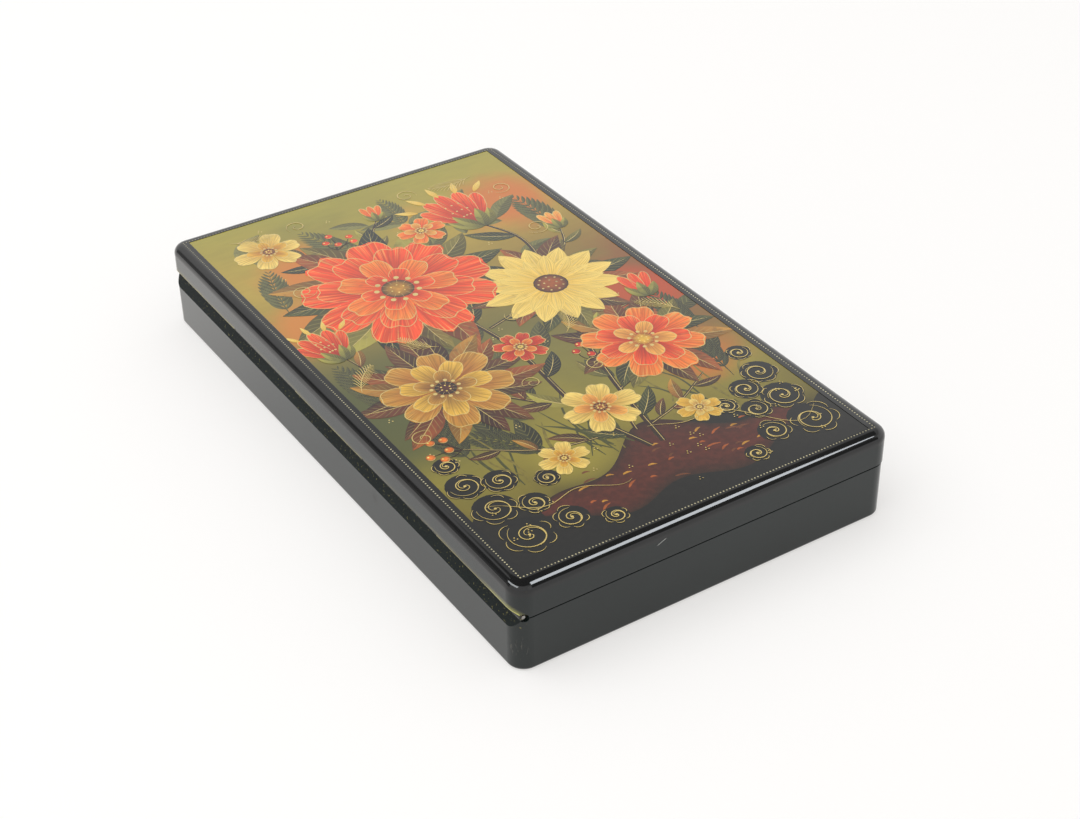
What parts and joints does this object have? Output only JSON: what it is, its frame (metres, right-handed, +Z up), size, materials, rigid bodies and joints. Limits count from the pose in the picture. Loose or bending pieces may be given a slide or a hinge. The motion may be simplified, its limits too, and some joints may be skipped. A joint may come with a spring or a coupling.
{
  "type": "hinged lacquer box",
  "caption": "Flat rectangular papier-mache lacquer box with a painted lid that swings up on a full-length knuckle hinge along one long side.",
  "frame": {"origin": "middle of the underside of the box's bounding box, on the surface that it stands on", "axes": "+Z up; +Y along the length and the hinge; the hinge is on the -X long side and the lid opens on the +X side"},
  "size_m": [0.118, 0.2, 0.0272],
  "materials": {
    "black_lacquer": "gloss",
    "red_lacquer": "gloss",
    "painting": "gloss",
    "knuckle_brass": "satin",
    "hinge_steel": "satin"
  },
  "bodies": {
    "base": {"bottom_board": "black_lacquer", "base_wall": "black_lacquer", "inner_rim": "red_lacquer", "base_knuckle_1": "knuckle_brass", "base_knuckle_2": "knuckle_brass", "hinge_wire": "hinge_steel"},
    "lid": {"lid_wall": "black_lacquer", "lid_board": "black_lacquer", "painted_layer": "painting", "lid_knuckle_1": "knuckle_brass", "lid_knuckle_2": "knuckle_brass", "lid_knuckle_3": "knuckle_brass"}
  },
  "joints": [
    {"name": "lid_hinge", "type": "hinge", "parent": "base", "child": "lid", "pos_m": [-0.0565, 0, 0.017], "axis": [0, -1, 0], "range_deg": [0, 93]}
  ]
}
